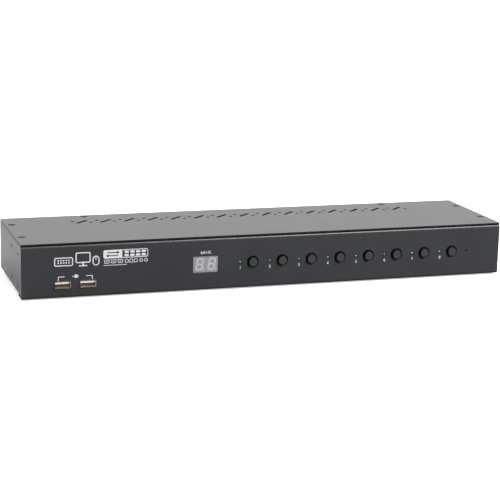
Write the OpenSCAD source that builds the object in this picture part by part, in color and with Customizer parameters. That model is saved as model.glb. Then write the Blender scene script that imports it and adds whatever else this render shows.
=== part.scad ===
// Eight-port keyboard, video and mouse switch in a one-unit sheet-metal case.
// Frame: +Z up, the front panel faces -Y, and the origin is the centre of the
// object's whole footprint, buttons and rear sockets included, on the plane
// that the rubber feet stand on.

/* [Case] */
// Width of the case
case_w = 406; // [404:1:420]
// Depth of the case, front panel face to rear panel face
case_d = 101.5; // [100:0.5:120]
// Height from the bottom of the front panel to the top of the cover
case_h = 43.8; // [43.5:0.1:46]
// Sheet thickness of the tray, rear panel and cover
sheet_t = 1.2; // [1:0.1:1.2]
// Sheet thickness of the front panel
front_t = 1.8; // [1.6:0.1:2]
// How far the feet stand below the front panel
foot_drop = 1; // [0.6:0.1:2]

/* [Front controls] */
// Distance between neighbouring push buttons
button_pitch = 25; // [24:0.5:25]
// Diameter of a button cap
button_d = 7.2; // [7:0.1:8.4]
// Diameter of the panel hole around a button cap
button_hole_d = 10; // [9.6:0.1:10.4]
// How far a button cap stands out of the panel
button_proud = 2; // [1:0.1:3]
// How far a button travels when it is pressed
button_travel = 0.5; // [0.2:0.05:0.6]
// Diameter of a port lamp
lamp_d = 3; // [2.8:0.1:3]

/* [Cover vents] */
// Distance between neighbouring vent groups
vent_pitch = 20; // [18:0.5:22]
// Diameter of a round vent hole
vent_hole_d = 3; // [2:0.1:3.4]
// Length of a slanted vent slot, end to end
vent_slot_l = 15; // [12:0.5:16]
// Width of a slanted vent slot
vent_slot_w = 2.8; // [2:0.1:3.2]

/* [Rear connectors] */
// Distance between neighbouring port groups on the rear panel
group_pitch = 41; // [40:0.25:41]

/* [Rack ear holes] */
// Hole distance along the depth
ear_pitch_y = 30.5; // [28:0.5:32]
// Hole distance along the height
ear_pitch_z = 25.4; // [24:0.1:26]
// Diameter of the tapped holes
ear_hole_d = 3.3; // [3:0.1:4]

/* [Hidden] */

$fn = 48;
port_count = 8;

// Levels, bottom to top
lip_z = foot_drop;
tray_z = lip_z + front_t;
floor_z = tray_z + sheet_t;
top_z = lip_z + case_h;
cover_z = top_z - sheet_t;
cover_gap = 0.3;
panel_top_z = cover_z - cover_gap;
board_t = 1.6;
standoff_h = 6;
main_z = floor_z + standoff_h;
main_top_z = main_z + board_t;
spacer_h = 15.4;
upper_z = main_top_z + spacer_h;
upper_top_z = upper_z + board_t;

// Stations, front to back
dvi_proud = 5;
front_y = button_proud - (button_proud + case_d + dvi_proud) / 2;
panel_back_y = front_y + front_t;
rear_y = front_y + case_d;
case_mid_y = (front_y + rear_y) / 2;
rear_in_y = rear_y - sheet_t;
control_y = front_y + 10;
control_back_y = control_y + board_t;
main_front_y = front_y + 15;
board_rear_y = rear_in_y - 1.2;
upper_front_y = board_rear_y - 36;

// Sheet bends and flanges
bend_r = 1.6;
front_bend_r = 2.2;
bend_relief = 0.5;
cover_corner_r = 0.8;
flange_inset = 3;
flange_clear = 0.4;
rear_flange_gap = 0.6;
side_flange_w = 12;
front_flange_d = 14;
front_top_flange_d = 12;
rear_flange_d = 12;
corner_r = 1.2;

// Clearances round the parts that stand in a panel or board opening
rear_gap = 0.2;
snug_gap = 0.1;
board_gap = 0.3;

// Front panel layout
left_x = -case_w / 2;
control_z = lip_z + 21.2;
first_button_x = left_x + 187.1;
lamp_dx = -10.5;
lamp_gap = 0.15;
lamp_proud = 0.5;
lamp_base_y = front_y + 5.2;
lamp_rim = 0.4;
lamp_rim_t = 1;
lamp_spacer_r = 2;
reset_x = first_button_x + (port_count - 0.45) * button_pitch;
reset_hole_d = 2;
display_x = left_x + 147.7;
display_z = lip_z + 21.1;
display_w = 20.4;
display_h = 13.2;
display_d = 8;
display_gap = 0.15;
display_recess = 0.4;
usb_a_w = 13.1;
usb_a_h = 5.7;
usb_a_d = 14;
usb_wall = 0.4;
usb_corner_r = 0.6;
usb_back_t = 1;
usb_gap = 0.2;
usb_proud = 0.6;
usb_tongue_w = 11.1;
usb_tongue_t = 1.85;
usb_tongue_dz = 1.05;
usb_tongue_recess = 3.3;
front_usb_x = [left_x + 32.5, left_x + 52.5];
front_usb_z = lip_z + 10.45;

// Button and switch details
switch_size = 6;
switch_h = 3.5;
stem_d = 3.4;
stem_bore_d = 3.5;
stem_in = 1;
stem_bore_depth = stem_in + button_travel + 0.5;
skirt_d = 12;
skirt_t = 0.8;
skirt_y = front_y + 3;
cap_round = 0.5;
plunger_y = panel_back_y + 0.6;

// Screws
m3_r = 1.5;
m3_hole_r = 1.55;
flat_head_r = 3;
countersink_gap = 0.3;
flat_head_sink = 0.35;
pan_head_r = 2.8;
pan_head_h = 1.6;
nut_r = 3.2;
nut_h = 2.4;
recess_w = 0.9;
recess_depth = 0.8;
flat_recess_l = 2.8;
pan_recess_l = 3;
pan_chamfer = 0.4;

// Cover screws: two along each side and two at the back
cover_side_x = case_w / 2 - 5.5;
cover_back_x = case_w / 2 - 69;
cover_screw_xy = [
    [-cover_side_x, front_y + 27], [-cover_side_x, front_y + 74.4],
    [cover_side_x, front_y + 27], [cover_side_x, front_y + 74.4],
    [-cover_back_x, rear_y - 6.2], [cover_back_x, rear_y - 6.2]
];
front_screw_xy = [for (x = [-150, -50, 50, 150]) [x, front_y + 7.5]];
rear_screw_xy = [for (x = [-150, -50, 50, 150]) [x, rear_in_y - 6]];
foot_xy = [for (x = [-180, 180]) for (y = [front_y + 25, rear_y - 14]) [x, y]];
foot_r = 6;
foot_chamfer = 0.6;

// Rack ear holes, a rectangle on each side wall
ear_y = front_y + 28.25;
ear_z = lip_z + 21.2;
ear_yz = [for (y = [-1, 1]) for (z = [-1, 1]) [ear_y + y * ear_pitch_y / 2, ear_z + z * ear_pitch_z / 2]];

// Cover vents
vent_count = 15;
vent_slot_angle = 43;
vent_y = front_y + 75.2;
vent_hole_dx = 7;
vent_hole_dy = 3.25;

// Boards
main_w = case_w - 13;
upper_x0 = left_x + 34;
upper_x1 = case_w / 2 - 5;
control_w = 366;
control_h = 35;
control_x = 1;
control_board_z = floor_z + 1;
standoff_x = [left_x + 38, left_x + 157, left_x + 276, left_x + 395];
standoff_r = 2.6;
standoff_front_y = main_front_y + 6;
standoff_rear_y = upper_front_y + 5;
spacer_stud_l = 3;
spacer_bore_depth = 6;
bracket_x = [-120, 20, 172];
bracket_w = 8;
bracket_h = 13;
bracket_foot_d = 3;
bracket_t = 1;
bracket_hole_z = floor_z + 9;

// Rear panel layout
group_x = [for (k = [0 : port_count]) case_w / 2 - 24.5 - k * group_pitch];
console_x = group_x[port_count];
dvi_flange_w = 39;
dvi_flange_h = 13;
dvi_flange_t = 1;
dvi_z = main_top_z + dvi_flange_h / 2;
dvi_screw_dx = 16.5;
dvi_screw_r = 1.42;
dvi_open_w = 24.6;
dvi_open_h = 9.2;
dvi_slant = 1.2;
dvi_wall = 0.5;
dvi_body_w = 30;
dvi_body_d = 15;
dvi_block_w = 21.6;
dvi_block_h = 6.4;
dvi_block_recess = 1.2;
dvi_contact_dx = 9;
dvi_contact_pitch = 1.9;
dvi_contact_w = 1;
dvi_contact_depth = 2;
dvi_blade_dx = -7.6;
dvi_blade_l = 3.6;
dvi_blade_h = 4.4;
dvi_blade_t = 0.7;
hex_r = 2.75;
usb_b_dx = -11;
usb_b_w = 12;
usb_b_h = 10.8;
usb_b_d = 16;
usb_b_proud = 0.8;
usb_b_wall = 0.4;
usb_b_open_w = 8.5;
usb_b_open_h = 7.8;
usb_b_cut = 1.6;
usb_b_open_d = 10;
usb_b_tongue_w = 5.6;
usb_b_tongue_h = 3.2;
jack_dx = [5, 14.5];
jack_w = 8.4;
jack_h = 8;
jack_d = 12;
jack_ring_r = 3.4;
jack_bore_r = 1.8;
jack_bore_depth = 12;
jack_z = upper_top_z + jack_h / 2;
jack_proud = 2;
console_usb_dx = [-1.6, 13];
console_usb_z = upper_top_z + usb_a_h / 2;
console_mouth_y = rear_y + usb_proud;
console_jack_dx = -14.5;
console_jack_z = [upper_top_z + 3.4, upper_top_z + 9.6];
console_jack_r = 2.9;
console_body_h = 13;
console_bore_depth = 10;
power_x = left_x + 17;
power_jack_w = 9;
power_jack_h = 11;
power_jack_d = 14;
power_jack_z = main_top_z + power_jack_h / 2;
power_ring_r = 3.9;
power_bore_r = 2.75;
power_bore_depth = 10;
power_pin_r = 1;
power_pin_recess = 1.5;
rocker_z = upper_z + 6;
rocker_half = 5.7;
rocker_w = 7.6;
rocker_tilt = 11;
rocker_pin_r = 0.9;
rocker_pivot_y = rear_y - 0.6;
rocker_root = 3;
rocker_back = 2.6;
rocker_valley = 2.4;
rocker_face = 3.3;
rocker_edge_t = 1.1;
rocker_pin_out = 0.7;
frame_w = 10.5;
frame_h = 15;
frame_body_w = 9.4;
frame_body_h = 13.6;
frame_bezel_t = 1.8;
frame_body_d = 12;
frame_well_d = 5;
frame_corner_r = 0.8;
ground_xz = [left_x + 7.5, lip_z + 19];

// Flat cable between the control board and the main board
header_x = -20;
header_z = floor_z + 22;
header_l = 30;
header_w = 6;
header_h = 8;
ribbon_t = 0.9;
ribbon_w = 25;
ribbon_turn_r = 6;
ribbon_y = control_back_y + header_h;
header_y = ribbon_y + 9;

// Parts on the boards
video_chip_x = [-150, -105, 35, 80, 125, 165];
video_chip_y = main_front_y + 26;
video_chip_size = 20;
video_chip_h = 1.6;
sink_h = 9;
sink_base_t = 2;
fin_pitch = 3.8;
fin_gap = 2.2;
main_chip_x = [-62, -20, 190];
main_chip_size = 10;
port_chip_size = 6;
capacitor_x = [-188, -178, -168];
capacitor_y = [main_front_y + 20, main_front_y + 32];
capacitor_r = 4;
capacitor_h = 11;

// ---------- 2D outlines ----------

// A rectangle centred on the origin with corners of radius r
module round_rect(w, h, r) {
    square([w - 2 * r, h], center = true);
    square([w, h - 2 * r], center = true);
    for (sx = [-1, 1]) for (sy = [-1, 1])
        translate([sx * (w / 2 - r), sy * (h / 2 - r)]) circle(r = r);
}

// The wall of a rounded tube of thickness t
module round_tube(w, h, r, t) {
    difference() {
        round_rect(w, h, r);
        round_rect(w - 2 * t, h - 2 * t, max(r - t, 0.2));
    }
}

// A slot of the given length, end to end
module slot(length, width) {
    square([length - width, width], center = true);
    for (s = [-1, 1]) translate([s * (length - width) / 2, 0]) circle(d = width);
}

// The D-shaped opening of a digital video socket, wide side up
module dvi_outline(grow) {
    half_w = dvi_open_w / 2 + grow;
    half_h = dvi_open_h / 2 + grow;
    polygon([[-half_w, half_h], [half_w, half_h],
             [half_w - dvi_slant, -half_h], [-half_w + dvi_slant, -half_h]]);
}

// The outline of a square serial-bus socket with its two cut upper corners
module usb_b_outline(grow) {
    half_w = usb_b_open_w / 2 + grow;
    half_h = usb_b_open_h / 2 + grow;
    polygon([[-half_w, -half_h], [half_w, -half_h], [half_w, half_h - usb_b_cut],
             [half_w - usb_b_cut, half_h], [-half_w + usb_b_cut, half_h], [-half_w, half_h - usb_b_cut]]);
}

// ---------- placing ----------

// Extrudes an outline drawn in X and Z along Y, from y0 to y1
module along_y(y0, y1) {
    translate([0, y1, 0]) rotate([90, 0, 0]) linear_extrude(height = y1 - y0) children();
}

// Extrudes an outline drawn in Y and Z along X, from x0 to x1
module along_x(x0, x1) {
    translate([x0, 0, 0]) rotate([90, 0, 90]) linear_extrude(height = x1 - x0) children();
}

// A round bar along Y, from y0 to y1, at x and z
module rod_y(x, z, r, y0, y1) {
    translate([x, y0, z]) rotate([-90, 0, 0]) cylinder(r = r, h = y1 - y0);
}

// A round bar along X
module rod_x(y, z, r, x0, x1) {
    translate([x0, y, z]) rotate([0, 90, 0]) cylinder(r = r, h = x1 - x0);
}

// A box given by its centre in X and Z and its ends in Y
module block_y(x, z, w, h, y0, y1) {
    translate([x - w / 2, y0, z - h / 2]) cube([w, y1 - y0, h]);
}

// A round bar along Z at each point of a list
module rods_z(points, r, z0, z1) {
    for (p = points) translate([p[0], p[1], z0]) cylinder(r = r, h = z1 - z0);
}

// A crossed driver recess, its mouth at z = 0 and facing up
module cross_recess(size) {
    for (a = [0, 90]) rotate([0, 0, a])
        translate([-size / 2, -recess_w / 2, -recess_depth]) cube([size, recess_w, recess_depth + 1]);
}

// A countersunk screw, pointing down, with its head sunk a little below the surface at z = 0
module flat_screw(length, head_t) {
    sunk_head_r = flat_head_r - (flat_head_r - m3_r) * flat_head_sink / head_t;
    difference() {
        union() {
            translate([0, 0, -head_t]) cylinder(r1 = m3_r, r2 = sunk_head_r, h = head_t - flat_head_sink);
            translate([0, 0, -length]) cylinder(r = m3_r, h = length - head_t + 0.01);
        }
        translate([0, 0, -flat_head_sink]) cross_recess(flat_recess_l);
    }
}

// A pan-head screw with the underside of its head at z = 0, pointing down
module pan_screw(length) {
    difference() {
        union() {
            cylinder(r = pan_head_r - pan_chamfer, h = pan_head_h);
            cylinder(r = pan_head_r, h = pan_head_h - pan_chamfer);
            translate([0, 0, -length]) cylinder(r = m3_r, h = length + 0.01);
        }
        translate([0, 0, pan_head_h]) cross_recess(pan_recess_l);
    }
}

// ---------- case ----------

module base_tray() color([0.13, 0.13, 0.14]) {
    depth = rear_in_y - panel_back_y;
    height = cover_z - tray_z;
    flange_y0 = front_y + front_flange_d;
    flange_z0 = cover_z - 2 * bend_r - flange_clear;
    difference() {
        along_y(panel_back_y, rear_in_y)
            translate([0, tray_z + height / 2]) round_tube(case_w, height, bend_r, sheet_t);
        // the open top between the two side flanges
        translate([-case_w / 2 + side_flange_w, panel_back_y - 1, floor_z + bend_r])
            cube([case_w - 2 * side_flange_w, depth + 2, height]);
        // the floor's front edge clears the inside of the front panel's lower bend
        translate([-case_w, panel_back_y - 1, tray_z - 1]) cube([2 * case_w, 1 + bend_relief, 1 + bend_relief]);
        // the side flanges stop behind the front panel's flange and before the rear panel's
        translate([-case_w / 2 + sheet_t, panel_back_y - 1, flange_z0])
            cube([case_w - 2 * sheet_t, flange_y0 - panel_back_y + 1, 2 * bend_r + 1]);
        translate([-case_w / 2 + sheet_t, rear_in_y - rear_flange_d - bend_relief, flange_z0])
            cube([case_w - 2 * sheet_t, rear_flange_d + 1, 2 * bend_r + 1]);
        rods_z([for (i = [0 : 3]) cover_screw_xy[i]], m3_hole_r, cover_z - 3, cover_z + 1);
        rods_z(front_screw_xy, m3_hole_r, tray_z - 1, floor_z + 1);
        rods_z(rear_screw_xy, m3_hole_r, tray_z - 1, floor_z + 1);
        for (p = ear_yz) rod_x(p[0], p[1], ear_hole_d / 2, -case_w, case_w);
    }
}

module front_panel() color([0.11, 0.11, 0.12]) {
    height = panel_top_z - lip_z;
    depth = front_flange_d + 6;
    difference() {
        intersection() {
            along_x(left_x, -left_x)
                translate([front_y + depth / 2, lip_z + height / 2])
                    round_tube(depth, height, front_bend_r, front_t);
            along_y(front_y - 1, front_y + depth)
                translate([0, lip_z + height / 2 + 5]) round_rect(case_w, height + 10, corner_r);
        }
        // the profile is open at the back, and each flange has its own depth
        translate([left_x - 1, front_y + front_flange_d, lip_z - 1]) cube([case_w + 2, depth, height + 2]);
        translate([left_x - 1, front_y + front_top_flange_d, lip_z + height / 2])
            cube([case_w + 2, depth, height]);
        // the upper flange stops short of the tray's side walls
        for (s = [-1, 1]) translate([s * case_w / 2, panel_back_y + depth / 2, panel_top_z])
            cube([2 * flange_inset, depth, 4 * front_t], center = true);
        for (k = [0 : port_count - 1]) {
            button_x = first_button_x + k * button_pitch;
            rod_y(button_x, control_z, button_hole_d / 2, front_y - 1, panel_back_y + 1);
            rod_y(button_x + lamp_dx, control_z, lamp_d / 2 + lamp_gap, front_y - 1, panel_back_y + 1);
        }
        rod_y(reset_x, control_z, reset_hole_d / 2, front_y - 1, panel_back_y + 1);
        block_y(display_x, display_z, display_w + 2 * display_gap, display_h + 2 * display_gap,
                front_y - 1, panel_back_y + 1);
        for (x = front_usb_x)
            block_y(x, front_usb_z, usb_a_w + 2 * usb_gap, usb_a_h + 2 * usb_gap,
                    front_y - 1, panel_back_y + 1);
        for (p = front_screw_xy) translate([p[0], p[1], lip_z])
            cylinder(r1 = flat_head_r + countersink_gap, r2 = m3_hole_r, h = front_t);
        rods_z(front_screw_xy, m3_hole_r, lip_z - 1, tray_z + 1);
    }
}

module rear_panel() color([0.13, 0.13, 0.14]) {
    height = cover_z - floor_z;
    wall_z = (cover_z + tray_z) / 2;
    inner_w = case_w - 2 * (sheet_t + rear_flange_gap);
    difference() {
        union() {
            along_y(rear_in_y, rear_y) translate([0, wall_z]) round_rect(case_w, cover_z - tray_z, bend_r);
            // the top flange carries the cover and the bottom flange sits on the tray
            for (z = [cover_z - sheet_t, floor_z])
                translate([-inner_w / 2, rear_in_y - rear_flange_d, z])
                    cube([inner_w, rear_flange_d + 0.5, sheet_t]);
        }
        rods_z([for (i = [4, 5]) cover_screw_xy[i]], m3_hole_r, cover_z - 3, cover_z + 1);
        rods_z(rear_screw_xy, m3_hole_r, floor_z - 1, floor_z + 3);
        for (x = group_x) {
            along_y(rear_in_y - 1, rear_y + 1) translate([x, dvi_z]) dvi_outline(dvi_wall + rear_gap);
            for (s = [-1, 1]) rod_y(x + s * dvi_screw_dx, dvi_z, m3_hole_r, rear_in_y - 1, rear_y + 1);
        }
        for (k = [0 : port_count - 1]) {
            block_y(group_x[k] + usb_b_dx, upper_top_z + usb_b_h / 2, usb_b_w + 2 * rear_gap,
                    usb_b_h + 2 * rear_gap, rear_in_y - 1, rear_y + 1);
            for (dx = jack_dx)
                rod_y(group_x[k] + dx, jack_z, jack_ring_r + rear_gap, rear_in_y - 1, rear_y + 1);
        }
        for (dx = console_usb_dx)
            block_y(console_x + dx, console_usb_z, usb_a_w + 2 * rear_gap, usb_a_h + 2 * rear_gap,
                    rear_in_y - 1, rear_y + 1);
        for (z = console_jack_z)
            rod_y(console_x + console_jack_dx, z, console_jack_r + snug_gap, rear_in_y - 1, rear_y + 1);
        rod_y(power_x, power_jack_z, power_ring_r + rear_gap, rear_in_y - 1, rear_y + 1);
        block_y(power_x, rocker_z, frame_body_w + 2 * snug_gap, frame_body_h + 2 * snug_gap,
                rear_in_y - 1, rear_y + 1);
        rod_y(ground_xz[0], ground_xz[1], m3_hole_r, rear_in_y - 1, rear_y + 1);
    }
}

module top_cover() color([0.15, 0.15, 0.16]) {
    first_vent_x = -(vent_count - 1) * vent_pitch / 2;
    difference() {
        translate([0, case_mid_y, cover_z])
            linear_extrude(height = sheet_t) round_rect(case_w, case_d, cover_corner_r);
        for (p = cover_screw_xy) translate([p[0], p[1], cover_z]) {
            cylinder(r1 = m3_hole_r, r2 = flat_head_r + countersink_gap, h = sheet_t);
            translate([0, 0, -1]) cylinder(r = m3_hole_r, h = sheet_t + 2);
        }
        for (k = [0 : vent_count - 1]) translate([first_vent_x + k * vent_pitch, vent_y, cover_z - 1]) {
            rotate([0, 0, vent_slot_angle]) linear_extrude(height = sheet_t + 2) slot(vent_slot_l, vent_slot_w);
            for (s = [-1, 1]) translate([-s * vent_hole_dx, s * vent_hole_dy, 0])
                cylinder(d = vent_hole_d, h = sheet_t + 2);
        }
    }
}

module cover_screws() color([0.35, 0.35, 0.37])
    for (i = [0 : 5]) translate([cover_screw_xy[i][0], cover_screw_xy[i][1], top_z])
        rotate([0, 0, 25 + 37 * i]) flat_screw(6, sheet_t);

module cover_nuts() color([0.7, 0.7, 0.72])
    for (p = cover_screw_xy) translate([p[0], p[1], cover_z - sheet_t - nut_h]) difference() {
        cylinder(r = nut_r, h = nut_h);
        translate([0, 0, -1]) cylinder(r = m3_hole_r, h = nut_h + 2);
    }

module front_panel_screws() color([0.35, 0.35, 0.37])
    for (p = front_screw_xy) translate([p[0], p[1], lip_z]) rotate([180, 0, 0]) flat_screw(5, front_t);

module rear_panel_screws() color([0.35, 0.35, 0.37])
    for (p = rear_screw_xy) translate([p[0], p[1], tray_z]) rotate([180, 0, 0]) pan_screw(5);

module ear_nuts() color([0.7, 0.7, 0.72])
    for (side = [-1, 1]) for (p = ear_yz) {
        inner_x = side * (case_w / 2 - sheet_t);
        nut_end_x = inner_x - side * nut_h;
        difference() {
            rod_x(p[0], p[1], nut_r, min(inner_x, nut_end_x), max(inner_x, nut_end_x));
            rod_x(p[0], p[1], ear_hole_d / 2, -case_w, case_w);
        }
    }

module rubber_feet() color([0.06, 0.06, 0.06])
    for (p = foot_xy) translate([p[0], p[1], 0]) {
        translate([0, 0, foot_chamfer]) cylinder(r = foot_r, h = tray_z - foot_chamfer);
        cylinder(r1 = foot_r - foot_chamfer, r2 = foot_r, h = foot_chamfer);
    }

// ---------- boards and their hardware ----------

module main_board() color([0.05, 0.3, 0.14])
    difference() {
        translate([-main_w / 2, main_front_y, main_z]) cube([main_w, board_rear_y - main_front_y, board_t]);
        for (x = standoff_x) for (y = [standoff_front_y, standoff_rear_y])
            translate([x, y, main_z - 1]) cylinder(r = m3_hole_r, h = board_t + 2);
    }

module upper_board() color([0.05, 0.3, 0.14])
    difference() {
        translate([upper_x0, upper_front_y, upper_z])
            cube([upper_x1 - upper_x0, board_rear_y - upper_front_y, board_t]);
        for (x = standoff_x)
            translate([x, standoff_rear_y, upper_z - 1]) cylinder(r = m3_hole_r, h = board_t + 2);
    }

module control_board() color([0.05, 0.3, 0.14])
    difference() {
        block_y(control_x, control_board_z + control_h / 2, control_w, control_h, control_y, control_back_y);
        for (x = front_usb_x)
            block_y(x, front_usb_z, usb_a_w + 2 * board_gap, usb_a_h + 2 * board_gap,
                    control_y - 1, control_back_y + 1);
        for (x = bracket_x) rod_y(x, bracket_hole_z, m3_hole_r, control_y - 1, control_back_y + 1);
    }

// Hollow posts: the lower row stands on the tray floor
module board_standoffs() color([0.75, 0.65, 0.35])
    for (x = standoff_x) for (y = [standoff_front_y, standoff_rear_y])
        translate([x, y, floor_z]) difference() {
            cylinder(r = standoff_r, h = standoff_h);
            translate([0, 0, 1]) cylinder(r = m3_hole_r, h = standoff_h);
        }

// The upper posts carry the upper board, and a stud on each reaches into the post below
module board_spacers() color([0.75, 0.65, 0.35])
    for (x = standoff_x) translate([x, standoff_rear_y, main_top_z]) difference() {
        union() {
            cylinder(r = standoff_r, h = spacer_h);
            translate([0, 0, -board_t - spacer_stud_l]) cylinder(r = m3_r, h = board_t + spacer_stud_l + 0.01);
        }
        translate([0, 0, spacer_h - spacer_bore_depth]) cylinder(r = m3_hole_r, h = spacer_bore_depth + 1);
    }

// Angle brackets that hold the control board up from the tray floor
module control_board_brackets() color([0.72, 0.72, 0.74])
    for (x = bracket_x) difference() {
        translate([x - bracket_w / 2, control_back_y, floor_z]) {
            cube([bracket_w, bracket_t, bracket_h]);
            cube([bracket_w, bracket_foot_d, bracket_t]);
        }
        rod_y(x, bracket_hole_z, m3_hole_r, control_back_y - 1, control_back_y + bracket_t + 1);
    }

module board_screws() color([0.75, 0.75, 0.78]) {
    for (x = standoff_x) translate([x, standoff_front_y, main_top_z]) pan_screw(5);
    for (x = standoff_x) translate([x, standoff_rear_y, upper_top_z]) pan_screw(5);
    for (x = bracket_x)
        translate([x, control_y, bracket_hole_z]) rotate([90, 0, 0]) pan_screw(board_t + bracket_t + 0.8);
}

// ---------- front controls ----------

// One button: a cap, a light-blocking skirt behind the panel, and a stem into the switch
module button_cap(k) color([0.16, 0.16, 0.17]) {
    cap_front_y = front_y - button_proud;
    switch_front_y = control_y - switch_h;
    x = first_button_x + k * button_pitch;
    translate([x, cap_front_y, control_z]) rotate([-90, 0, 0]) {
        rotate_extrude() {
            translate([0, cap_round]) square([button_d / 2, skirt_y - cap_front_y - cap_round]);
            square([button_d / 2 - cap_round, cap_round + 0.1]);
            translate([button_d / 2 - cap_round, cap_round]) intersection() {
                circle(r = cap_round);
                translate([0, -cap_round]) square(cap_round);
            }
        }
        translate([0, 0, skirt_y - cap_front_y]) cylinder(d = skirt_d, h = skirt_t);
        cylinder(d = stem_d, h = switch_front_y + stem_in - cap_front_y);
    }
}

module button_cap_1() button_cap(0);
module button_cap_2() button_cap(1);
module button_cap_3() button_cap(2);
module button_cap_4() button_cap(3);
module button_cap_5() button_cap(4);
module button_cap_6() button_cap(5);
module button_cap_7() button_cap(6);
module button_cap_8() button_cap(7);

// A square push switch on the control board, with a bore for the stem that presses it
module push_switch(x) {
    switch_front_y = control_y - switch_h;
    difference() {
        block_y(x, control_z, switch_size, switch_size, switch_front_y, control_y);
        rod_y(x, control_z, stem_bore_d / 2, switch_front_y - 1, switch_front_y + stem_bore_depth);
    }
}

module button_switches() color([0.1, 0.1, 0.1])
    for (k = [0 : port_count - 1]) push_switch(first_button_x + k * button_pitch);

module reset_switch() color([0.1, 0.1, 0.1]) push_switch(reset_x);

// The small plunger behind the pin hole
module reset_plunger() color([0.7, 0.7, 0.68]) {
    switch_front_y = control_y - switch_h;
    rod_y(reset_x, control_z, stem_d / 2, plunger_y, switch_front_y + stem_in);
}

// Round lamps whose domes stand in their panel holes
module port_lamps() color([0.3, 0.6, 0.4])
    for (k = [0 : port_count - 1]) {
        x = first_button_x + k * button_pitch + lamp_dx;
        dome_y = front_y + lamp_d / 2 - lamp_proud;
        rod_y(x, control_z, lamp_d / 2, dome_y, lamp_base_y);
        rod_y(x, control_z, lamp_d / 2 + lamp_rim, lamp_base_y - lamp_rim_t, lamp_base_y);
        translate([x, dome_y, control_z]) sphere(d = lamp_d);
    }

module lamp_spacers() color([0.08, 0.08, 0.08])
    for (k = [0 : port_count - 1])
        rod_y(first_button_x + k * button_pitch + lamp_dx, control_z, lamp_spacer_r, lamp_base_y, control_y);

// The two-digit display, a sealed block whose face sits just inside the panel window
module bank_display() color([0.62, 0.63, 0.63])
    block_y(display_x, display_z, display_w, display_h, front_y + display_recess,
            front_y + display_recess + display_d);

module display_socket() color([0.08, 0.08, 0.08])
    block_y(display_x, display_z, display_w - 1, display_h - 2,
            front_y + display_recess + display_d, control_y);

// A flat serial-bus socket: a folded metal shell with its mouth at mouth_y
module usb_a_shell(x, z, mouth_y, back_y) {
    inner = min(mouth_y, back_y);
    outer = max(mouth_y, back_y);
    back_wall_y = mouth_y < back_y ? outer - usb_back_t : inner;
    along_y(inner, outer) translate([x, z]) round_tube(usb_a_w, usb_a_h, usb_corner_r, usb_wall);
    block_y(x, z, usb_a_w - usb_wall, usb_a_h - usb_wall, back_wall_y, back_wall_y + usb_back_t);
}

// The contact tongue inside a flat socket, in the upper half of the shell
module usb_a_tongue(x, z, mouth_y, back_y) {
    inward = mouth_y < back_y ? 1 : -1;
    tip_y = mouth_y + usb_tongue_recess * inward;
    root_y = back_y - usb_back_t * inward;
    block_y(x, z + usb_tongue_dz, usb_tongue_w, usb_tongue_t, min(tip_y, root_y), max(tip_y, root_y));
}

module front_usb_shells() color([0.85, 0.84, 0.8])
    for (x = front_usb_x) usb_a_shell(x, front_usb_z, front_y - usb_proud, front_y - usb_proud + usb_a_d);

module front_usb_tongues() color([0.86, 0.83, 0.77])
    for (x = front_usb_x) usb_a_tongue(x, front_usb_z, front_y - usb_proud, front_y - usb_proud + usb_a_d);

// ---------- rear connectors ----------

module dvi_shells() color([0.78, 0.78, 0.8])
    for (x = group_x) difference() {
        union() {
            block_y(x, dvi_z, dvi_flange_w, dvi_flange_h, rear_in_y - dvi_flange_t, rear_in_y);
            along_y(rear_in_y - dvi_flange_t, rear_y + dvi_proud) translate([x, dvi_z]) dvi_outline(dvi_wall);
        }
        along_y(rear_in_y - 3, rear_y + dvi_proud + 1) translate([x, dvi_z]) dvi_outline(0);
        for (s = [-1, 1]) rod_y(x + s * dvi_screw_dx, dvi_z, m3_hole_r, rear_in_y - 3, rear_y + 1);
    }

// The contact block inside a video socket, with three rows of contacts and a crossed blade group
module dvi_inserts() color([0.9, 0.9, 0.88])
    for (x = group_x) {
        face_y = rear_y + dvi_proud - dvi_block_recess;
        hole_y = face_y - dvi_contact_depth;
        difference() {
            block_y(x, dvi_z, dvi_block_w, dvi_block_h, rear_in_y - dvi_flange_t, face_y);
            for (row = [-1 : 1]) for (i = [0 : 7])
                block_y(x + dvi_contact_dx - i * dvi_contact_pitch, dvi_z + row * dvi_contact_pitch,
                        dvi_contact_w, dvi_contact_w, hole_y, face_y + 1);
            block_y(x + dvi_blade_dx, dvi_z, dvi_blade_l, dvi_blade_t, hole_y, face_y + 1);
            block_y(x + dvi_blade_dx, dvi_z, dvi_blade_t, dvi_blade_h, hole_y, face_y + 1);
        }
    }

module dvi_bodies() color([0.12, 0.12, 0.12])
    for (x = group_x)
        block_y(x, dvi_z, dvi_body_w, dvi_flange_h,
                rear_in_y - dvi_flange_t - dvi_body_d, rear_in_y - dvi_flange_t);

// Hexagonal jackscrews, tapped for the plug's thumbscrews
module dvi_jackscrews() color([0.7, 0.7, 0.72])
    for (x = group_x) for (s = [-1, 1]) translate([x + s * dvi_screw_dx, 0, dvi_z]) difference() {
        union() {
            rotate([90, 0, 0]) translate([0, 0, -rear_y - dvi_proud])
                cylinder(r = hex_r, h = dvi_proud, $fn = 6);
            rod_y(0, 0, m3_r, rear_in_y - 3, rear_y + 0.01);
        }
        rod_y(0, 0, dvi_screw_r, rear_y - 0.5, rear_y + dvi_proud + 1);
    }

module usb_b_shells() color([0.8, 0.8, 0.82])
    for (k = [0 : port_count - 1]) {
        x = group_x[k] + usb_b_dx;
        z = upper_top_z + usb_b_h / 2;
        difference() {
            block_y(x, z, usb_b_w, usb_b_h, rear_y - usb_b_d, rear_y + usb_b_proud);
            block_y(x, z, usb_b_w - 2 * usb_b_wall, usb_b_h - 2 * usb_b_wall, rear_y - usb_b_d + 1, rear_y + 2);
        }
    }

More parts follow.
